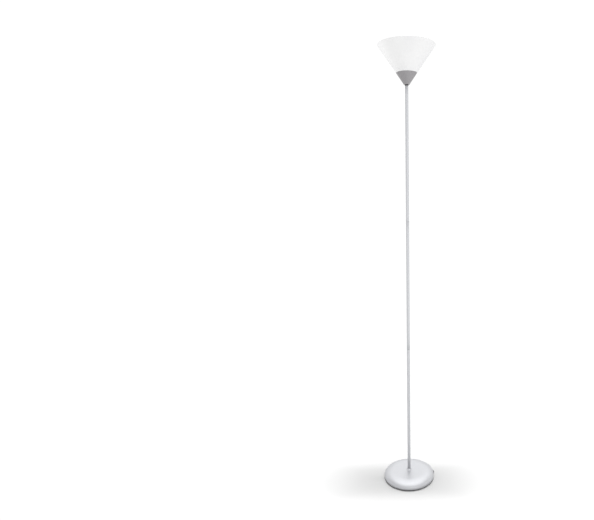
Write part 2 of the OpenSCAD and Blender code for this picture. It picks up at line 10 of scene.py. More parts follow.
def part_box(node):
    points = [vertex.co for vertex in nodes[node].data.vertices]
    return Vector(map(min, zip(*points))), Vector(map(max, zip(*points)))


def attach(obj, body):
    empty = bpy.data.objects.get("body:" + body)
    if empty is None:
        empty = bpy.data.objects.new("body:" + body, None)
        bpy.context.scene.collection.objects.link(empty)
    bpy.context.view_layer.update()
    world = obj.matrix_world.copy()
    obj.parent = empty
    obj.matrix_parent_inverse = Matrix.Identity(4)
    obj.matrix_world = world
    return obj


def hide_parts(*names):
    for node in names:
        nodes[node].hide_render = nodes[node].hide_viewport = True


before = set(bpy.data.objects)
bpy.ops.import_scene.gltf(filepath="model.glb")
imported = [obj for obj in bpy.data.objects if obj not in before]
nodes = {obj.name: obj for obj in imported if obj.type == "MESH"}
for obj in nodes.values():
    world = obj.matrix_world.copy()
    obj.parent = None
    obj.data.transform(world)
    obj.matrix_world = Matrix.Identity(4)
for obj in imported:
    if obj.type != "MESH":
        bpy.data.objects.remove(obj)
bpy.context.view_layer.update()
scene = bpy.context.scene


# ---------------------------------------------------------------- camera
# A standing viewer's camera two metres off, tipped down a little, with the
# lamp towards the right of the frame.

camera_back = 1.948
camera_height = 1.244
camera_tip = math.radians(8.25)
camera_roll = math.radians(-0.37)

camera_data = bpy.data.cameras.new("camera")
camera_data.sensor_width = 36
camera_data.lens = 29.02
camera_data.shift_x = -0.1865
camera_data.clip_start = 0.05
camera = bpy.data.objects.new("camera", camera_data)
camera.matrix_world = (
    Matrix.Translation((0, -camera_back, camera_height))
    @ Matrix.Rotation(math.pi / 2 - camera_tip, 4, "X")
    @ Matrix.Rotation(camera_roll, 4, "Z")
)
scene.collection.objects.link(camera)
scene.camera = camera
scene.view_settings.view_transform = "Standard"
scene.view_settings.look = "None"


# ---------------------------------------------------------------- rubber feet
# Four moulded black rubber pads, stuck under the base plate. Each has a
# rounded edge and a shallow dish underneath, so that it grips like a sucker.

foot_low, foot_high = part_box("rubber_feet")
foot_ring = 0.090
foot_radius = 0.008
foot_height = foot_high.z - foot_low.z
foot_dish = 0.0005
feet_count = 4


def arc(centre_r, centre_z, radius_r, radius_z, from_deg, to_deg, steps=10):
    """Points on a stretch of an ellipse, as (distance from the axis, height)."""
    turns = [math.radians(from_deg + (to_deg - from_deg) * i / steps) for i in range(steps + 1)]
    return [(centre_r + radius_r * math.cos(t), centre_z + radius_z * math.sin(t)) for t in turns]


def softened(corners, steps=4):
    """Rounds each corner given as (r, z, radius) in a closed outline; others stay as they are."""
    outline = []
    for i, corner in enumerate(corners):
        here = Vector(corner[:2])
        radius = corner[2] if len(corner) > 2 else 0
        before = Vector(corners[i - 1][:2]) - here
        after = Vector(corners[(i + 1) % len(corners)][:2]) - here
        if radius and before.length and after.length:
            half = before.angle(after) / 2
            reach = radius / max(math.tan(half), 1e-4)
            reach = min(reach, before.length * 0.49, after.length * 0.49)
            start, end = here + before.normalized() * reach, here + after.normalized() * reach
            for s in range(steps + 1):
                t = s / steps
                outline.append(tuple(start * (1 - t) ** 2 + here * 2 * t * (1 - t) + end * t * t))
        else:
            outline.append(tuple(here))
    return outline


def new_piece(name, mesh):
    piece = bpy.data.objects.new(name, mesh)
    scene.collection.objects.link(piece)
    return piece


def turned(name, outline, segments=96, sharp_deg=32):
    """A closed outline of (r, z) points, spun round the Z axis into a smooth solid."""
    shape = bmesh.new()
    rings = []
    for r, z in outline:
        if r < 1e-6:
            rings.append([shape.verts.new((0, 0, z))] * segments)
        else:
            rings.append(
                [
                    shape.verts.new((r * math.cos(a), r * math.sin(a), z))
                    for a in (2 * math.pi * i / segments for i in range(segments))
                ]
            )
    for low, high in zip(rings, rings[1:] + rings[:1]):
        for i in range(segments):
            j = (i + 1) % segments
            corners = list(dict.fromkeys((low[i], low[j], high[j], high[i])))
            if len(corners) > 2:
                shape.faces.new(corners)
    bmesh.ops.remove_doubles(shape, verts=shape.verts, dist=1e-7)
    bmesh.ops.recalc_face_normals(shape, faces=shape.faces)
    mesh = bpy.data.meshes.new(name)
    shape.to_mesh(mesh)
    shape.free()
    mesh.polygons.foreach_set("use_smooth", [True] * len(mesh.polygons))
    mesh.set_sharp_from_angle(angle=math.radians(sharp_deg))
    return new_piece(name, mesh)


def add(tree, kind, settings=None, inputs=None):
    """Adds a node; inputs are values, or sockets of other nodes to link from."""
    node = tree.nodes.new(kind)
    for key, value in (settings or {}).items():
        setattr(node, key, value)
    for key, value in (inputs or {}).items():
        if isinstance(value, bpy.types.NodeSocket):
            tree.links.new(value, node.inputs[key])
        else:
            node.inputs[key].default_value = value
    return node


def linear(hex_colour):
    """An sRGB hex colour as linear red, green, blue and alpha."""
    shares = (int(hex_colour[i : i + 2], 16) / 255 for i in (1, 3, 5))
    return tuple(s / 12.92 if s <= 0.04045 else ((s + 0.055) / 1.055) ** 2.4 for s in shares) + (1,)


def surface(name, **sockets):
    """A material whose shader has these uniform values; returns it, its tree and its shader."""
    material = bpy.data.materials.new(name)
    material.use_nodes = True
    tree = material.node_tree
    shader = tree.nodes["Principled BSDF"]
    for key, value in sockets.items():
        shader.inputs[key.replace("_", " ")].default_value = value
    return material, tree, shader


def two_tones(tree, shader, factor, dark, light, low=0.35, high=0.65):
    """The shader's colour runs from dark to light as factor goes from low to high."""
    ramp = add(tree, "ShaderNodeValToRGB", inputs={"Fac": factor})
    ramp.color_ramp.elements[0].position, ramp.color_ramp.elements[0].color = low, linear(dark)
    ramp.color_ramp.elements[1].position, ramp.color_ramp.elements[1].color = high, linear(light)
    tree.links.new(ramp.outputs["Color"], shader.inputs["Base Color"])


def grain(tree, per_metre, detail=2.0, rough=0.5):
    """Noise on object coordinates, with this many grains to the metre."""
    coords = add(tree, "ShaderNodeTexCoord")
    return add(
        tree,
        "ShaderNodeTexNoise",
        inputs={
            "Vector": coords.outputs["Object"],
            "Scale": per_metre,
            "Detail": detail,
            "Roughness": rough,
        },
    )


def bumped(tree, shader, height, depth, strength=0.5):
    """Raises the surface by height, depth metres from its lowest to its highest."""
    bump = add(
        tree,
        "ShaderNodeBump",
        inputs={"Strength": strength, "Distance": depth, "Height": height},
    )
    tree.links.new(bump.outputs["Normal"], shader.inputs["Normal"])


def spread(tree, shader, factor, low, high, socket="Roughness"):
    """The shader's socket runs between two values as factor goes from 0 to 1."""
    span = add(tree, "ShaderNodeMapRange", inputs={"Value": factor, "To Min": low, "To Max": high})
    tree.links.new(span.outputs["Result"], shader.inputs[socket])


# Natural-rubber compound, press moulded: matt, nearly black, with a fine
# bloom that greys it in patches.
moulded_rubber, tree, shader = surface("moulded_rubber", Roughness=0.8, IOR=1.52)
bloom = grain(tree, 180, 5)
two_tones(tree, shader, bloom.outputs["Fac"], "#1c1c1f", "#2c2c30")
bumped(tree, shader, grain(tree, 1500, 3).outputs["Fac"], 0.0002)


def ring_of_copies():
    """A geometry tree that stands copies of a shape evenly round the Z axis."""
    tree = bpy.data.node_groups.new("ring_of_copies", "GeometryNodeTree")
    for label, kind in (
        ("Shape", "NodeSocketObject"),
        ("Count", "NodeSocketInt"),
        ("Ring radius", "NodeSocketFloat"),
        ("First angle", "NodeSocketFloat"),
        ("Material", "NodeSocketMaterial"),
    ):
        tree.interface.new_socket(label, in_out="INPUT", socket_type=kind)
    tree.interface.new_socket("Geometry", in_out="OUTPUT", socket_type="NodeSocketGeometry")
    given = add(tree, "NodeGroupInput").outputs
    step = add(tree, "ShaderNodeMath", {"operation": "DIVIDE"}, {0: 2 * math.pi, 1: given["Count"]})
    angle = add(
        tree,
        "ShaderNodeMath",
        {"operation": "MULTIPLY_ADD"},
        {
            0: add(tree, "GeometryNodeInputIndex").outputs[0],
            1: step.outputs[0],
            2: given["First angle"],
        },
    ).outputs[0]
    across, along = (
        add(
            tree,
            "ShaderNodeMath",
            {"operation": "MULTIPLY"},
            {
                0: given["Ring radius"],
                1: add(tree, "ShaderNodeMath", {"operation": turn}, {0: angle}).outputs[0],
            },
        ).outputs[0]
        for turn in ("COSINE", "SINE")
    )
    place = add(tree, "ShaderNodeCombineXYZ", inputs={"X": across, "Y": along}).outputs[0]
    spots = add(tree, "GeometryNodePoints", inputs={"Count": given["Count"], "Position": place})
    shape = add(tree, "GeometryNodeObjectInfo", inputs={"Object": given["Shape"]})
    copies = add(
        tree,
        "GeometryNodeInstanceOnPoints",
        inputs={
            "Points": spots.outputs[0],
            "Instance": shape.outputs["Geometry"],
            "Rotation": add(tree, "ShaderNodeCombineXYZ", inputs={"Z": angle}).outputs[0],
        },
    )
    solid = add(tree, "GeometryNodeRealizeInstances", inputs={0: copies.outputs[0]})
    painted = add(
        tree,
        "GeometryNodeSetMaterial",
        inputs={"Geometry": solid.outputs[0], "Material": given["Material"]},
    )
    add(tree, "NodeGroupOutput", inputs={0: painted.outputs[0]})
    return tree


ring_of_copies_tree = ring_of_copies()


def grown(piece, tree, **inputs):
    """Runs a geometry tree on a piece, inputs by name, and keeps its result as a mesh."""
    modifier = piece.modifiers.new("grow", "NODES")
    modifier.node_group = tree
    for item in tree.interface.items_tree:
        label = item.name.replace(" ", "_").lower()
        if item.in_out == "INPUT" and label in inputs:
            modifier[item.identifier] = inputs[label]
    bpy.context.view_layer.update()
    seen = piece.evaluated_get(bpy.context.evaluated_depsgraph_get())
    mesh = bpy.data.meshes.new_from_object(seen)
    piece.modifiers.remove(modifier)
    piece.data = mesh
    return piece


def copies_round(name, shape, count, radius, first_deg, material):
    """The shape, made once, repeated round the Z axis as one piece."""
    piece = grown(
        new_piece(name, bpy.data.meshes.new(name)),
        ring_of_copies_tree,
        shape=shape,
        count=count,
        ring_radius=radius,
        first_angle=math.radians(first_deg),
        material=material,
    )
    bpy.data.objects.remove(shape)
    return piece


def finished(piece, material, body, slot, *replaced):
    """Gives a piece its one material, hangs it on its body's empty and hides the nodes it replaces.
    """
    piece.data.materials.clear()
    piece.data.materials.append(material)
    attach(piece, body)
    if replaced:
        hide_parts(*replaced)
    return piece


one_foot = turned(
    "one_foot",
    softened(
        [
            (0, foot_dish),
            (foot_radius - 0.002, foot_dish, 0.001),
            (foot_radius - 0.0015, 0, 0.0004),
            (foot_radius - 0.0006, 0, 0.0006),
            (foot_radius, foot_height, 0.0002),
            (0, foot_height),
        ]
    ),
    48,
)
feet = copies_round("foot_pads", one_foot, feet_count, foot_ring, 45, moulded_rubber)
finished(feet, moulded_rubber, "lamp_stand", "foot_rubber", "rubber_feet")


# ---------------------------------------------------------------- base plate
# A disc of sheet steel, painted black, that closes the base from below. It
# has a pressed ring round each third of it to keep it flat.

plate_low, plate_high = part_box("base_plate")
plate_radius = (plate_high.x - plate_low.x) / 2
plate_bead = 0.0004

# Black stoving paint on cold-rolled sheet: low sheen, slight orange peel.
black_paint, tree, shader = surface("black_stoving_paint", Roughness=0.5, IOR=1.5)
two_tones(tree, shader, grain(tree, 60, 4).outputs["Fac"], "#222326", "#2c2d31")
bumped(tree, shader, grain(tree, 700, 2).outputs["Fac"], 0.0002, 0.35)

plate_outline = [(0, plate_low.z + plate_bead)]
for bead_radius in (0.026, 0.048, 0.072):
    plate_outline += [
        (bead_radius - 0.003, plate_low.z + plate_bead),
        (bead_radius - 0.0012, plate_low.z),
        (bead_radius + 0.0012, plate_low.z),
        (bead_radius + 0.003, plate_low.z + plate_bead),
    ]
plate_outline += [
    (plate_radius - 0.0006, plate_low.z + plate_bead),
    (plate_radius, plate_low.z + 2 * plate_bead),
    (plate_radius, plate_high.z),
    (0, plate_high.z),
]
base_plate = turned("bottom_plate", plate_outline, 128, 50)
finished(base_plate, black_paint, "lamp_stand", "plate_paint", "base_plate")


# ---------------------------------------------------------------- plate screws
# Three pan-head screws with a cross recess, zinc plated, driven up through
# the plate into the cast weight.

screw_low, screw_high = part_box("plate_screws")
screw_ring = 0.108 * 0.55
screw_head_radius = 0.0034
screw_head_height = 0.0014
screw_shank_radius = 0.0017
cross_length = 0.0036
cross_width = 0.0008
cross_depth = 0.0009

# Bright zinc plating, blue passivated: a satin metal with a cool cast.
zinc_plate, tree, shader = surface("zinc_plate", Metallic=1.0)
two_tones(tree, shader, grain(tree, 400, 3).outputs["Fac"], "#a9adb3", "#c3c7cc")
spread(tree, shader, grain(tree, 250, 2).outputs["Fac"], 0.28, 0.42)


def cross_recessed(screw, top_z, depth):
    """Cuts a cross recess into the underside of a screw head at top_z."""
    for turn in (0, math.pi / 2):
        cutter = bmesh.new()
        bmesh.ops.create_cube(cutter, size=1)
        bmesh.ops.transform(
            cutter,
            verts=cutter.verts,
            matrix=Matrix.Translation((0, 0, top_z))
            @ Matrix.Rotation(turn, 4, "Z")
            @ Matrix.Diagonal((cross_length, cross_width, depth * 2, 1)),
        )
        mesh = bpy.data.meshes.new("cutter")
        cutter.to_mesh(mesh)
        cutter.free()
        tool = new_piece("cutter", mesh)
        cut = screw.modifiers.new("cut", "BOOLEAN")
        cut.object, cut.operation, cut.solver = tool, "DIFFERENCE", "EXACT"
        bpy.context.view_layer.update()
        seen = screw.evaluated_get(bpy.context.evaluated_depsgraph_get())
        result = bpy.data.meshes.new_from_object(seen)
        screw.modifiers.remove(cut)
        screw.data = result
        bpy.data.objects.remove(tool)
    return screw


one_screw = turned(
    "one_screw",
    [(0, screw_low.z)]
    + arc(screw_head_radius - 0.0009, screw_low.z + 0.0009, 0.0009, 0.0009, -90, 0, 5)
    + [
        (screw_head_radius, screw_low.z + screw_head_height),
        (screw_shank_radius, screw_low.z + screw_head_height),
        (screw_shank_radius, screw_high.z - 0.001),
        (screw_shank_radius * 0.3, screw_high.z),
        (0, screw_high.z),
    ],
    32,
)
cross_recessed(one_screw, screw_low.z, cross_depth)
screws = copies_round("bottom_screws", one_screw, 3, screw_ring, 60, zinc_plate)
finished(screws, zinc_plate, "lamp_stand", "zinc", "plate_screws")


# ---------------------------------------------------------------- inside the base
# The cast cement weight, the washer and nut that clamp it to the pole's
# stud, and the nylon clamp that holds the flex. The base cover hides them.

# Cast cement with fine sand: rough, pale grey, pitted.
cast_cement, tree, shader = surface("cast_cement", Roughness=0.93)
two_tones(tree, shader, grain(tree, 220, 6).outputs["Fac"], "#7f7c74", "#a8a49a")
bumped(tree, shader, grain(tree, 900, 6, 0.7).outputs["Fac"], 0.0008, 0.8)

# Turned steel with yellow passivated zinc: warm satin metal. The screw
# thread is a fine one, a millimetre from ridge to ridge.
thread_pitch = 0.001
yellow_zinc, tree, shader = surface("yellow_passivated_zinc", Metallic=1.0, Roughness=0.34)
two_tones(tree, shader, grain(tree, 300, 3).outputs["Fac"], "#b79a52", "#d3bd7c")
threads = add(
    tree,
    "ShaderNodeTexWave",
    {"wave_type": "BANDS", "bands_direction": "Z"},
    {
        "Vector": add(tree, "ShaderNodeTexCoord").outputs["Object"],
        "Scale": math.pi / 10 / thread_pitch,
        "Distortion": 0.0,
    },
)
bumped(tree, shader, threads.outputs["Fac"], 0.0004, 0.7)

# Moulded nylon, uncoloured: milky and slightly waxy.
natural_nylon, tree, shader = surface(
    "natural_nylon", Roughness=0.45, Subsurface_Weight=0.15, IOR=1.53
)
shader.inputs["Subsurface Radius"].default_value = (0.002, 0.002, 0.002)
two_tones(tree, shader, grain(tree, 120, 3).outputs["Fac"], "#dedbd0", "#ebe9e0")
bumped(tree, shader, grain(tree, 2500, 2).outputs["Fac"], 0.0001, 0.3)


def dressed(material, *names):
    """A CAD node whose shape is right keeps it and gets this finish."""
    for name in names:
        nodes[name].data.materials.clear()
        nodes[name].data.materials.append(material)


dressed(cast_cement, "base_weight")
dressed(yellow_zinc, "base_nut", "base_stud")
dressed(zinc_plate, "base_washer", "cord_clamp_screws")
dressed(natural_nylon, "cord_clamp_saddle", "cord_clamp_bar")


# ---------------------------------------------------------------- base cover
# A shallow dome pressed from sheet steel, tucked in under its widest point,
# and lacquered silver like the pole.

cover_low, cover_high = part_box("base_cover")
cover_radius = (cover_high.x - cover_low.x) / 2
cover_flat = 0.066
cover_belly = 0.0115
cover_tuck = 0.006
cover_wall = 0.0012
cover_bore = 0.0053

# Silver acrylic lacquer over primer: aluminium flakes a twentieth of a
# millimetre across, drawn coarser here so that they show, under clear coat.
silver_lacquer, tree, shader = surface(
    "silver_metallic_lacquer",
    Metallic=0.85,
    Coat_Weight=0.1,
    Coat_Roughness=0.4,
)
flakes = grain(tree, 1800, 2, 0.6)
two_tones(tree, shader, flakes.outputs["Fac"], "#b5b6b9", "#c5c6c9", 0.3, 0.7)
spread(tree, shader, grain(tree, 70, 3).outputs["Fac"], 0.42, 0.5)
bumped(tree, shader, flakes.outputs["Fac"], 0.00005, 0.25)


def cover_side(wall):
    """The cover's side from its lower lip up to its flat top, pulled in by wall."""
    lip = cover_radius - cover_tuck
    tuck_height = cover_belly - cover_low.z - wall
    crown_width = cover_radius - cover_flat - wall
    crown_height = cover_high.z - cover_belly - wall
    tuck = arc(lip, cover_belly, cover_tuck - wall, tuck_height, -90, 0, 12)
    return tuck + arc(cover_flat, cover_belly, crown_width, crown_height, 0, 90, 40)


cover_top = [(radius, cover_high.z) for radius in (0.04, 0.012, cover_bore)]
base_dome = turned(
    "base_dome",
    cover_side(0)
    + cover_top
    + [(cover_bore, cover_high.z - cover_wall)]
    + cover_side(cover_wall)[::-1],
    192,
)
finished(base_dome, silver_lacquer, "lamp_stand", "silver_lacquer", "base_cover")


# ---------------------------------------------------------------- pole collar
# A small turned collar that hides the gap where the pole meets the base. It
# flares down to a thin edge and is lacquered with the pole.

collar_low, collar_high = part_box("pole_collar")
collar_radius = (collar_high.x - collar_low.x) / 2
pole_radius = 0.0065


def bent(start, through, end, steps=10):
    """Points on a curve that leaves and arrives towards the middle point."""
    start, through, end = Vector(start), Vector(through), Vector(end)
    return [
        tuple(start * (1 - t) ** 2 + through * 2 * t * (1 - t) + end * t * t)
        for t in (i / steps for i in range(steps + 1))
    ]


pole_collar = turned(
    "foot_collar",
    [
        (cover_bore, collar_low.z),
        (collar_radius, collar_low.z),
        (collar_radius, collar_low.z + 0.0006),
    ]
    + bent(
        (collar_radius - 0.0003, collar_low.z + 0.0009),
        (pole_radius + 0.0007, collar_low.z + 0.0016),
        (pole_radius + 0.00035, collar_high.z),
    )
    + [(cover_bore, collar_high.z)],
    96,
)
finished(pole_collar, silver_lacquer, "lamp_stand", "silver_lacquer", "pole_collar")


# ---------------------------------------------------------------- cord entry
# A black rubber bush pushed into the hole in the cover's side. Its flange
# sits outside, a grip ring sits inside, and its nose is ribbed.

cord_turn = math.radians(10)
cord_height = 0.010
gland_out = Matrix.Rotation(cord_turn, 4, "Z") @ Matrix.Translation((0, 0, cord_height))
gland_out = gland_out @ Matrix.Rotation(math.pi / 2, 4, "Y")
gland_bore = 0.0029
gland_body = 0.0044
gland_flange = 0.0055
cover_out = 0.108

gland_outline = softened(
    [
        (gland_bore, cover_out - 0.008),
        (gland_body, cover_out - 0.008, 0.0003),
        (gland_body, cover_out - 0.0074),
        (gland_flange - 0.0003, cover_out - 0.0072, 0.0003),
        (gland_flange - 0.0003, cover_out - 0.006, 0.0003),
        (gland_body, cover_out - 0.006),
        (gland_body, cover_out + 0.0001),
        (gland_flange, cover_out + 0.0001, 0.0003),
        (gland_flange, cover_out + 0.0016, 0.0007),
        (gland_body - 0.0003, cover_out + 0.0017, 0.0001),
        (gland_body - 0.0008, cover_out + 0.0019, 0.0001),
        (gland_body - 0.0008, cover_out + 0.0021, 0.0001),
        (gland_body - 0.0003, cover_out + 0.0023, 0.0001),
        (gland_body - 0.0003, cover_out + 0.0028, 0.0003),
        (gland_bore, cover_out + 0.0028, 0.0002),
    ]
)
cord_bush = turned("cord_bush", gland_outline, 48)
cord_bush.data.transform(gland_out)
finished(cord_bush, moulded_rubber, "lamp_stand", "foot_rubber", "cord_gland")


# ---------------------------------------------------------------- flex
# The flex runs from the bush, under the clamp, and up the pole to the
# lampholder, where its two cores part to the terminals.

# PVC sheath: soft satin plastic, with faint drag lines from the extruder.
black_sheath, tree, shader = surface("black_pvc_sheath", Roughness=0.48, IOR=1.53)
two_tones(tree, shader, grain(tree, 150, 3).outputs["Fac"], "#202023", "#2a2a2e")
bumped(tree, shader, grain(tree, 1200, 2).outputs["Fac"], 0.0001, 0.3)
brown_core, tree, shader = surface("brown_pvc_core", Roughness=0.42, IOR=1.53)
two_tones(tree, shader, grain(tree, 300, 3).outputs["Fac"], "#6e4226", "#7d4d2e")
blue_core, tree, shader = surface("blue_pvc_core", Roughness=0.42, IOR=1.53)
two_tones(tree, shader, grain(tree, 300, 3).outputs["Fac"], "#2c5fa3", "#3a70b6")

dressed(black_sheath, "inner_flex")
dressed(brown_core, "live_wire")
dressed(blue_core, "neutral_wire")


# ---------------------------------------------------------------- pole
# Three equal lengths of thin steel tube that screw together on hollow
# studs. Each has a threaded bush pressed in at both ends, and both edges
# are eased, so that only a hairline shows at a joint.

tube_wall = 0.0007
tube_ease = 0.0003
for name in ("lower_tube", "middle_tube", "upper_tube"):
    tube_low, tube_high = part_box(name)
    radius = (tube_high.x - tube_low.x) / 2
    length = tube_high.z - tube_low.z
    straight = length - 2 * tube_ease
    outside = [(radius, tube_low.z + tube_ease + straight * i / 12) for i in range(13)]
    tube = turned(
        name.replace("tube", "pole_length"),
        [(radius - tube_wall, tube_low.z), (radius - tube_ease, tube_low.z)]
        + outside
        + [(radius - tube_ease, tube_high.z), (radius - tube_wall, tube_high.z)],
        64,
        50,
    )
    finished(tube, silver_lacquer, "lamp_stand", "silver_lacquer", name)

for name in ("lower_tube", "middle_tube", "upper_tube"):
    dressed(yellow_zinc, name + "_foot_bush", name + "_top_bush")
dressed(yellow_zinc, "lower_joint_stud", "upper_joint_stud")


# ---------------------------------------------------------------- pole sleeve
# A black sleeve pushed over the pole's top end. It fills the cup's hole and
# shows below the cup as a short dark ring with an eased edge.

sleeve_low, sleeve_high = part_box("pole_sleeve")
sleeve_radius = (sleeve_high.x - sleeve_low.x) / 2
sleeve_bore = 0.00652

# Black polyethylene, moulded: satin, a little waxy.
black_plastic, tree, shader = surface("black_polyethylene", Roughness=0.42, IOR=1.51)
two_tones(tree, shader, grain(tree, 200, 3).outputs["Fac"], "#242427", "#2e2e32")
bumped(tree, shader, grain(tree, 1500, 2).outputs["Fac"], 0.0001, 0.25)

pole_ring = turned(
    "pole_ring",
    softened(
        [
            (sleeve_bore, sleeve_low.z, 0.00015),
            (sleeve_radius, sleeve_low.z, 0.0003),
            (sleeve_radius, sleeve_high.z, 0.0002),
            (sleeve_bore, sleeve_high.z, 0.00015),
        ]
    ),
    96,
)
finished(pole_ring, black_plastic, "lamp_stand", "black_plastic", "pole_sleeve")


# ---------------------------------------------------------------- cup
# A straight-sided cone, spun from sheet and lacquered a satin grey. A boss
# inside takes the pole's end, and a nut in the cup clamps the two together.

cup_low, cup_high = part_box("cup")
cup_top = (cup_high.x - cup_low.x) / 2
cup_bottom = 0.0111
cup_wall = 0.0018
cup_floor = 0.0025
cup_hole = 0.0073
cup_web = 0.00615
cup_web_wall = 0.0025
cup_boss = 0.0092
stud_hole = 0.00505

# Grey metallic lacquer, satin: fine aluminium flakes in a grey base, with
# enough clear binder on top to brighten it towards its edges.
grey_lacquer, tree, shader = surface(
    "grey_metallic_lacquer",
    Metallic=0.55,
    Coat_Weight=0.25,
    Coat_Roughness=0.2,
)
flakes = grain(tree, 2200, 2, 0.6)
two_tones(tree, shader, flakes.outputs["Fac"], "#7e7c7e", "#929092", 0.3, 0.7)
spread(tree, shader, grain(tree, 90, 3).outputs["Fac"], 0.3, 0.4)
bumped(tree, shader, flakes.outputs["Fac"], 0.00005, 0.3)

cup_height = cup_high.z - cup_low.z
cup_slope = (cup_top - cup_bottom) / cup_height
cup_across = cup_wall * math.hypot(1, cup_slope)
web_low, web_high = cup_low.z + cup_web, cup_low.z + cup_web + cup_web_wall
cup_shell = turned(
    "cone_cup",
    softened(
        [
            (cup_hole, cup_low.z, 0.0004),
            (cup_bottom, cup_low.z, 0.0005),
            (cup_bottom + cup_slope * cup_height * 0.35, cup_low.z + cup_height * 0.35),
            (cup_bottom + cup_slope * cup_height * 0.7, cup_low.z + cup_height * 0.7),
            (cup_top, cup_high.z, 0.0004),
            (cup_top - cup_across, cup_high.z, 0.0004),
            (cup_bottom + cup_slope * cup_floor - cup_across, cup_low.z + cup_floor, 0.0006),
            (cup_boss, cup_low.z + cup_floor),
            (cup_boss, web_high, 0.0003),
            (stud_hole, web_high, 0.0002),
            (stud_hole, web_low),
            (cup_hole, web_low),
        ]
    ),
    160,
)
finished(cup_shell, grey_lacquer, "lamp_stand", "grey_lacquer", "cup")

dressed(yellow_zinc, "nipple", "lock_nut")
dressed(zinc_plate, "lock_washer")


# ---------------------------------------------------------------- lampholder
# A white thermoset dome and skirt with a steatite insert that carries the
# terminals, the screw shell and the centre contact. The skirt's outer wall
# has a coarse thread for the shade's ring.

# Urea moulding: hard, glossy white, with the faint swirl of its powder.
white_thermoset, tree, shader = surface("white_thermoset", Roughness=0.32, IOR=1.6)
two_tones(tree, shader, grain(tree, 90, 4).outputs["Fac"], "#ece9e2", "#f5f3ee")
bumped(tree, shader, grain(tree, 1200, 2).outputs["Fac"], 0.0001, 0.2)
# Steatite: dense unglazed ceramic, chalky to look at.
steatite, tree, shader = surface("steatite", Roughness=0.7, IOR=1.6)
two_tones(tree, shader, grain(tree, 700, 5).outputs["Fac"], "#d9d4c6", "#e8e4d9")
bumped(tree, shader, grain(tree, 1800, 3).outputs["Fac"], 0.0002, 0.4)
# Rolled brass strip, bare: warm and bright with dull patches.
rolled_brass, tree, shader = surface("rolled_brass", Metallic=1.0)
two_tones(tree, shader, grain(tree, 260, 4).outputs["Fac"], "#c09c54", "#dcbd78")
spread(tree, shader, grain(tree, 500, 3).outputs["Fac"], 0.22, 0.4)

dressed(white_thermoset, "holder_dome")
dressed(steatite, "holder_insert")
dressed(rolled_brass, "screw_shell", "centre_contact", "shell_strap", "terminal_blocks")
dressed(zinc_plate, "terminal_screws")


def screw_ridges():
    """A geometry tree that rolls a right-hand ridge into one round wall of a turned piece.

    Points between Bottom and Top, and within Reach of Wall radius, move in
    and out by Depth as the ridge climbs one Pitch a turn from height Zero, and
    sink to the ridge's root over the length Fade at both ends.
    With Lobes above zero the wall gets that many upright grips instead.
    """
    tree = bpy.data.node_groups.new("screw_ridges", "GeometryNodeTree")
    tree.interface.new_socket("Geometry", in_out="INPUT", socket_type="NodeSocketGeometry")
    sizes = ("Wall radius", "Reach", "Bottom", "Top", "Fade", "Depth", "Pitch", "Zero", "Lobes")
    for label in sizes:
        tree.interface.new_socket(label, in_out="INPUT", socket_type="NodeSocketFloat")
    tree.interface.new_socket("Material", in_out="INPUT", socket_type="NodeSocketMaterial")
    tree.interface.new_socket("Geometry", in_out="OUTPUT", socket_type="NodeSocketGeometry")
    given = add(tree, "NodeGroupInput").outputs

    def reckon(operation, *values):
        node = add(tree, "ShaderNodeMath", {"operation": operation}, dict(enumerate(values)))
        return node.outputs[0]

    place = add(tree, "GeometryNodeInputPosition").outputs[0]
    part = add(tree, "ShaderNodeSeparateXYZ", inputs={0: place}).outputs
    flat = add(tree, "ShaderNodeCombineXYZ", inputs={"X": part["X"], "Y": part["Y"]}).outputs[0]
    radius = add(tree, "ShaderNodeVectorMath", {"operation": "LENGTH"}, {0: flat}).outputs["Value"]
    outward = add(tree, "ShaderNodeVectorMath", {"operation": "NORMALIZE"}, {0: flat}).outputs[0]
    angle = reckon("ARCTAN2", part["Y"], part["X"])
    climb = reckon("DIVIDE", reckon("SUBTRACT", part["Z"], given["Zero"]), given["Pitch"])
    helix = reckon("COSINE", reckon("SUBTRACT", angle, reckon("MULTIPLY", climb, 2 * math.pi)))
    grips = reckon("COSINE", reckon("MULTIPLY", angle, given["Lobes"]))
    upright = reckon("GREATER_THAN", given["Lobes"], 0.5)
    rolled = reckon("MULTIPLY", helix, reckon("SUBTRACT", 1.0, upright))
    wave = reckon("ADD", reckon("MULTIPLY", grips, upright), rolled)
    above = reckon("DIVIDE", reckon("SUBTRACT", part["Z"], given["Bottom"]), given["Fade"])
    below = reckon("DIVIDE", reckon("SUBTRACT", given["Top"], part["Z"]), given["Fade"])
    share = reckon("MAXIMUM", reckon("MINIMUM", reckon("MINIMUM", above, below), 1.0), 0.0)
    off_wall = reckon("ABSOLUTE", reckon("SUBTRACT", radius, given["Wall radius"]))
    near = reckon("LESS_THAN", off_wall, given["Reach"])
    swing = reckon("SUBTRACT", reckon("MULTIPLY", share, reckon("ADD", wave, 1.0)), 1.0)
    push = reckon("MULTIPLY", reckon("MULTIPLY", swing, given["Depth"]), near)
    shift = add(tree, "ShaderNodeVectorMath", {"operation": "SCALE"}, {0: outward, "Scale": push})
    moved = add(
        tree,
        "GeometryNodeSetPosition",
        inputs={"Geometry": given["Geometry"], "Offset": shift.outputs[0]},
    )
    whole = add(tree, "GeometryNodeRealizeInstances", inputs={0: moved.outputs[0]})
    painted = add(
        tree,
        "GeometryNodeSetMaterial",
        inputs={"Geometry": whole.outputs[0], "Material": given["Material"]},
    )
    add(tree, "NodeGroupOutput", inputs={0: painted.outputs[0]})
    return tree


screw_ridges_tree = screw_ridges()


def wall_steps(radius, bottom, top, spacing):
    """Points up a straight wall, close enough for its ridges to be smooth."""
    count = math.ceil((top - bottom) / spacing)
    return [(radius, bottom + (top - bottom) * i / count) for i in range(count + 1)]


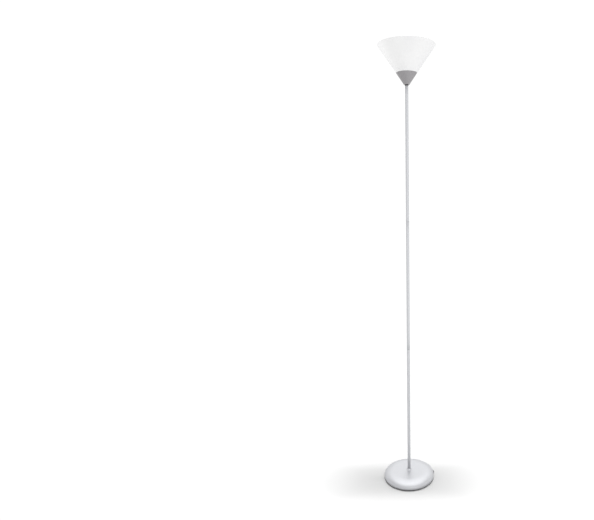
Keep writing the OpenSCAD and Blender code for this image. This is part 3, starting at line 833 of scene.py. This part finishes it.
holder_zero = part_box("holder_dome")[0].z
skirt_low, skirt_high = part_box("holder_skirt")
skirt_radius = 0.0194
skirt_depth = 0.00035
ring_pitch = 0.0025
skirt_flange = holder_zero + 0.027
skirt_thread_low = skirt_flange + 0.0005
skirt_thread_high = skirt_thread_low + 0.015
skirt_bore = 0.015
skirt_collar = 0.0206
flange_radius = 0.023
skirt = turned(
    "holder_sleeve",
    [
        (skirt_collar, skirt_low.z),
        (skirt_collar, skirt_flange - 0.0025),
        (flange_radius, skirt_flange - 0.0025),
        (flange_radius, skirt_flange),
        (skirt_radius, skirt_flange),
    ]
    + wall_steps(skirt_radius, skirt_thread_low, skirt_thread_high, ring_pitch / 12)
    + [
        (skirt_radius - 0.001, skirt_thread_high + 0.0004),
        (skirt_radius - 0.001, skirt_high.z - 0.0009),
        (skirt_radius - 0.0013, skirt_high.z - 0.0002),
        (skirt_radius - 0.0018, skirt_high.z),
        (skirt_bore + 0.0006, skirt_high.z),
        (skirt_bore, skirt_high.z - 0.0006),
        (skirt_bore, holder_zero + 0.0245),
        (skirt_collar - 0.0022, holder_zero + 0.0245),
        (skirt_collar - 0.0022, skirt_low.z),
    ],
    96,
)
grown(
    skirt,
    screw_ridges_tree,
    wall_radius=skirt_radius,
    reach=0.0005,
    bottom=skirt_thread_low,
    top=skirt_thread_high,
    fade=ring_pitch / 2,
    depth=skirt_depth,
    pitch=ring_pitch,
    zero=holder_zero,
    lobes=0.0,
    material=white_thermoset,
)
finished(skirt, white_thermoset, "lamp_stand", "white_thermoset", "holder_skirt")


# ---------------------------------------------------------------- shade
# One injection moulding in opal polypropylene: a floor with a hole for the
# lampholder, a neck that drops inside the cup, and a straight cone with a
# rounded rim. Its wall lets light through.

shade_low, shade_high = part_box("shade")
shade_radius = (shade_high.x - shade_low.x) / 2
shade_wall = 0.0016
shade_gap = 0.0003
shade_hole = 0.02005

# Opal polypropylene: white pigment in a milky plastic, with a satin skin
# from the mould that catches the light softly.
opal_plastic, tree, shader = surface("opal_polypropylene", Roughness=0.42, IOR=1.49)
two_tones(tree, shader, grain(tree, 9, 2).outputs["Fac"], "#d3d3d4", "#d8d8d8")
bumped(tree, shader, grain(tree, 1500, 2).outputs["Fac"], 0.0001, 0.2)

step_z = cup_high.z + shade_gap
step_r = cup_top + 0.0002
cone_slope = (shade_radius - step_r) / (shade_high.z - step_z)
cone_across = shade_wall * math.hypot(1, cone_slope)
neck_top = cup_top - cup_across - shade_gap
neck_low = neck_top - cup_slope * (step_z - shade_low.z)
lip = cone_across / 2


def up_wall(start, end, steps=8):
    """Points between two ends of a straight wall, both left out."""
    return [
        (start[0] + (end[0] - start[0]) * i / steps, start[1] + (end[1] - start[1]) * i / steps)
        for i in range(1, steps)
    ]


outer_foot, outer_rim = (step_r, step_z), (shade_radius, shade_high.z - lip)
inner_rim = (shade_radius - cone_across, shade_high.z - lip)
inner_foot = (step_r + cone_slope * shade_wall - cone_across, step_z + shade_wall)
shade = turned(
    "opal_shade",
    [(shade_hole, shade_low.z), (neck_low, shade_low.z), (neck_top, step_z), outer_foot]
    + up_wall(outer_foot, outer_rim)
    + arc(shade_radius - lip, shade_high.z - lip, lip, lip, 0, 180, 12)
    + up_wall(inner_rim, inner_foot)
    + [
        inner_foot,
        (neck_top - shade_wall, step_z + shade_wall),
        (neck_low - shade_wall, shade_low.z + shade_wall),
        (shade_hole, shade_low.z + shade_wall),
    ],
    192,
)
finished(shade, opal_plastic, "shade", "opal_plastic", "shade")


# ---------------------------------------------------------------- shade ring
# A moulded ring nut that screws down the lampholder's thread and holds the
# shade's floor on its flange. Twelve grips stand out round it.

ring_low, ring_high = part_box("shade_ring")
ring_radius = 0.0244
ring_grip = 0.0006
ring_bore = 0.0197
ring_outside = [
    (ring_radius - ring_grip, ring_low.z),
    (ring_radius, ring_low.z + 0.0008),
] + wall_steps(ring_radius, ring_low.z + 0.0012, ring_high.z - 0.0012, 0.002) + [
    (ring_radius, ring_high.z - 0.0008),
    (ring_radius - ring_grip, ring_high.z),
]
shade_ring = turned(
    "ring_nut",
    ring_outside + wall_steps(ring_bore, ring_low.z, ring_high.z, ring_pitch / 12)[::-1],
    144,
    40,
)
grown(
    shade_ring,
    screw_ridges_tree,
    wall_radius=ring_radius,
    reach=0.001,
    bottom=ring_low.z + 0.0001,
    top=ring_high.z - 0.0001,
    fade=0.001,
    depth=ring_grip * 0.9,
    pitch=1.0,
    zero=holder_zero,
    lobes=12.0,
    material=white_thermoset,
)
grown(
    shade_ring,
    screw_ridges_tree,
    wall_radius=ring_bore,
    reach=0.001,
    bottom=ring_low.z - 0.01,
    top=ring_high.z + 0.01,
    fade=0.001,
    depth=skirt_depth,
    pitch=ring_pitch,
    zero=holder_zero,
    lobes=0.0,
    material=white_thermoset,
)
finished(shade_ring, white_thermoset, "shade_ring", "white_thermoset", "shade_ring")


# ---------------------------------------------------------------- bulb
# A common opal filament bulb. The aluminium cap has the rounded thread
# rolled into it; black glass insulates the soldered centre contact.

cap_low, cap_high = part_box("bulb_cap")
globe_low, globe_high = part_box("bulb_globe")
cap_pitch = 0.003629
cap_radius = 0.01255
cap_depth = 0.0005
cap_wall = 0.0005
cap_thread_low = cap_low.z + 0.0016
cap_thread_high = cap_low.z + 0.017
cap_top_radius = 0.0134

# Rolled aluminium, bare: bright, drawn round by the rolling.
rolled_aluminium, tree, shader = surface("rolled_aluminium", Metallic=1.0)
two_tones(tree, shader, grain(tree, 350, 3).outputs["Fac"], "#c9cbce", "#dadcde")
spread(tree, shader, grain(tree, 600, 3).outputs["Fac"], 0.2, 0.34)
# Tin solder, left as it set: duller and slightly lumpy.
tin_solder, tree, shader = surface("tin_solder", Metallic=1.0, Roughness=0.38)
two_tones(tree, shader, grain(tree, 500, 3).outputs["Fac"], "#9fa2a6", "#bfc2c5")
bumped(tree, shader, grain(tree, 900, 3).outputs["Fac"], 0.0003, 0.6)
# Vitrite, the black glass of bulb caps: opaque and glossy.
black_glass, tree, shader = surface("black_glass", Roughness=0.12, IOR=1.6)
two_tones(tree, shader, grain(tree, 300, 3).outputs["Fac"], "#121215", "#1a1a1e")
# Opal glass: white from a powder coat inside the envelope, glossy outside.
opal_glass, tree, shader = surface(
    "opal_glass",
    Roughness=0.16,
    IOR=1.5,
    Subsurface_Weight=0.2,
    Subsurface_Scale=0.003,
)
two_tones(tree, shader, grain(tree, 40, 4).outputs["Fac"], "#f3f2ee", "#f8f8f5")
# Clear lead glass of the stem that carries the filament.
clear_glass, tree, shader = surface(
    "clear_glass", Roughness=0.05, IOR=1.56, Transmission_Weight=1.0
)
two_tones(tree, shader, grain(tree, 100, 2).outputs["Fac"], "#eef4f4", "#f4f8f8")
# Drawn nickel and tungsten wire, grey from heat.
drawn_wire, tree, shader = surface("drawn_wire", Metallic=1.0, Roughness=0.4)
two_tones(tree, shader, grain(tree, 900, 3).outputs["Fac"], "#6d6e72", "#8b8c90")

dressed(tin_solder, "bulb_contact")
dressed(black_glass, "bulb_insulator")
dressed(clear_glass, "bulb_stem")
dressed(drawn_wire, "bulb_filament")

bulb_cap = turned(
    "screw_cap",
    [(0.0094, cap_low.z), (0.0104, cap_low.z), (0.0116, cap_low.z + 0.0010)]
    + wall_steps(cap_radius, cap_thread_low, cap_thread_high, cap_pitch / 14)
    + [
        (cap_radius - 0.0002, cap_thread_high + 0.0003),
        (cap_top_radius - 0.0002, cap_high.z - 0.001),
        (cap_top_radius, cap_high.z),
        (cap_top_radius - cap_wall, cap_high.z),
        (cap_radius - cap_depth - cap_wall, cap_thread_high),
        (cap_radius - cap_depth - cap_wall, cap_low.z + 0.0022),
    ],
    96,
    40,
)
grown(
    bulb_cap,
    screw_ridges_tree,
    wall_radius=cap_radius,
    reach=0.0004,
    bottom=cap_thread_low,
    top=cap_thread_high,
    fade=cap_pitch / 2,
    depth=cap_depth,
    pitch=cap_pitch,
    zero=holder_zero,
    lobes=0.0,
    material=rolled_aluminium,
)
finished(bulb_cap, rolled_aluminium, "bulb", "cap_aluminium", "bulb_cap")

globe_radius = (globe_high.x - globe_low.x) / 2
globe_centre = globe_high.z - globe_radius
globe_turn = 35
glass_wall = 0.0008
neck_flare = 0.00035
glass_neck = cap_top_radius - cap_wall - neck_flare


def globe_side(wall):
    """The glass from its neck up to the top of its globe, pulled in by wall."""
    low_r = globe_radius * math.cos(math.radians(globe_turn))
    low_z = globe_centre - globe_radius * math.sin(math.radians(globe_turn))
    bend_z = low_z - (low_r - glass_neck) / math.tan(math.radians(globe_turn))
    return bent(
        (glass_neck - wall, globe_low.z),
        (glass_neck - wall, max(globe_low.z + 0.001, bend_z)),
        (
            low_r - wall * math.cos(math.radians(globe_turn)),
            low_z + wall * math.sin(math.radians(globe_turn)),
        ),
        24,
    ) + arc(0, globe_centre, globe_radius - wall, globe_radius - wall, 6 - globe_turn, 90, 40)


globe = turned("bulb_glass", globe_side(0) + globe_side(glass_wall)[::-1], 128, 60)
finished(globe, opal_glass, "bulb", "opal_glass", "bulb_globe")


# ---------------------------------------------------------------- floor and light
# A matt floor that melts into a white studio a metre or two from the lamp.
# The studio is brightest overhead and at the front right, with dim upper
# walls, which gives the lacquer its shape. Its backdrop is just above white.

floor_half = 2.0
melt_start, melt_end = 0.8, 1.8
floor_corners = [(-floor_half, -floor_half, 0), (floor_half, -floor_half, 0)]
floor_corners += [(floor_half, floor_half, 0), (-floor_half, floor_half, 0)]
floor_mesh = bpy.data.meshes.new("floor")
floor_mesh.from_pydata(floor_corners, [], [(0, 1, 2, 3)])
floor = new_piece("floor", floor_mesh)
# Matt paper of a middle grey, which the strong lamp over it turns near white.
pale_floor, tree, shader = surface("pale_floor", Roughness=0.9, Specular_IOR_Level=0.0)
shader.inputs["Base Color"].default_value = linear("#8e8e8e")
floor_mesh.materials.append(pale_floor)


def ramped(tree, value, low, high, at_low, at_high):
    """A value that runs from at_low to at_high as the input goes from low to high."""
    return add(
        tree,
        "ShaderNodeMapRange",
        {"interpolation_type": "SMOOTHSTEP"},
        {"Value": value, "From Min": low, "From Max": high, "To Min": at_low, "To Max": at_high},
    ).outputs["Result"]


from_lamp = add(
    tree,
    "ShaderNodeVectorMath",
    {"operation": "LENGTH"},
    {0: add(tree, "ShaderNodeTexCoord").outputs["Object"]},
)
melted = add(
    tree,
    "ShaderNodeMixShader",
    inputs={
        0: ramped(tree, from_lamp.outputs["Value"], melt_start, melt_end, 0.0, 1.0),
        1: shader.outputs[0],
        2: add(tree, "ShaderNodeBsdfTransparent").outputs[0],
    },
)
tree.links.new(melted.outputs[0], tree.nodes["Material Output"].inputs["Surface"])

left_wall, front_right_wall, right_change = 0.8, 1.3, -0.3
front_change, back_change = 0.28, 0.42
upper_wall_share = 0.5
backdrop = 1.05
ceiling = 2.2

world = bpy.data.worlds.new("studio")
world.use_nodes = True
scene.world = world
tree = world.node_tree
tree.nodes.clear()
seen_from = add(tree, "ShaderNodeTexCoord").outputs["Generated"]
way = add(tree, "ShaderNodeSeparateXYZ", inputs={0: seen_from})
across = ramped(tree, way.outputs["X"], -0.9, 0.4, left_wall, front_right_wall)
far_right = ramped(tree, way.outputs["X"], 0.4, 0.95, 0.0, right_change)
deep = ramped(tree, way.outputs["Y"], -1.0, 1.0, front_change, back_change)
walls = add(tree, "ShaderNodeMath", {"operation": "ADD"}, {0: across, 1: deep}).outputs[0]
walls = add(tree, "ShaderNodeMath", {"operation": "ADD"}, {0: walls, 1: far_right}).outputs[0]
dimmed = ramped(tree, way.outputs["Y"], 0.1, 0.75, upper_wall_share, 1.0)


def mixed(factor, start, end):
    """A value that is start where factor is 0 and end where it is 1."""
    return add(
        tree, "ShaderNodeMix", {"data_type": "FLOAT"}, {"Factor": factor, "A": start, "B": end}
    ).outputs[0]


upper = add(tree, "ShaderNodeMath", {"operation": "MULTIPLY"}, {0: walls, 1: dimmed}).outputs[0]
walls = mixed(ramped(tree, way.outputs["Z"], 0.3, 0.55, 0.0, 1.0), walls, upper)
level = mixed(ramped(tree, way.outputs["Z"], 0.68, 0.9, 0.0, 1.0), walls, ceiling)
behind = ramped(tree, way.outputs["Y"], 0.4, 0.6, 0.0, 1.0)
over_backdrop = ramped(tree, way.outputs["Z"], 0.36, 0.46, 0.0, 1.0)
level = mixed(behind, level, mixed(over_backdrop, backdrop, level))
sky = add(tree, "ShaderNodeBackground", inputs={"Color": linear("#ffffff"), "Strength": level})
add(tree, "ShaderNodeOutputWorld", inputs={"Surface": sky.outputs[0]})


def box_light(name, width, depth, watts, place, aim):
    """A rectangular lamp at place that shines towards aim."""
    light = bpy.data.lights.new(name, "AREA")
    light.shape = "RECTANGLE"
    light.size, light.size_y = width, depth
    light.energy = watts
    fitting = bpy.data.objects.new(name, light)
    way_down = Vector(aim) - Vector(place)
    turn = way_down.to_track_quat("-Z", "Y").to_matrix().to_4x4()
    fitting.matrix_world = Matrix.Translation(place) @ turn
    scene.collection.objects.link(fitting)
    return fitting


def lights_only(light, lit):
    """The light reaches this one object; everything still throws a shadow in it."""
    light.light_linking.receiver_collection = bpy.data.collections.new(light.name + "_reach")
    light.light_linking.receiver_collection.objects.link(lit)


# The long lamp throws the shade's shadow on the floor, and the soft box lifts
# the shade's left edge towards the backdrop.
long_lamp = box_light("long_lamp", 3.8, 0.6, 4000, (0.20, 0.18, 12.5), (0.20, 0.18, 0))
long_lamp.data.shape = "ELLIPSE"
lights_only(long_lamp, floor)
lights_only(box_light("soft_box", 0.8, 0.8, 8, (-1.6, 0.9, 1.75), (0, 0, 1.75)), shade)
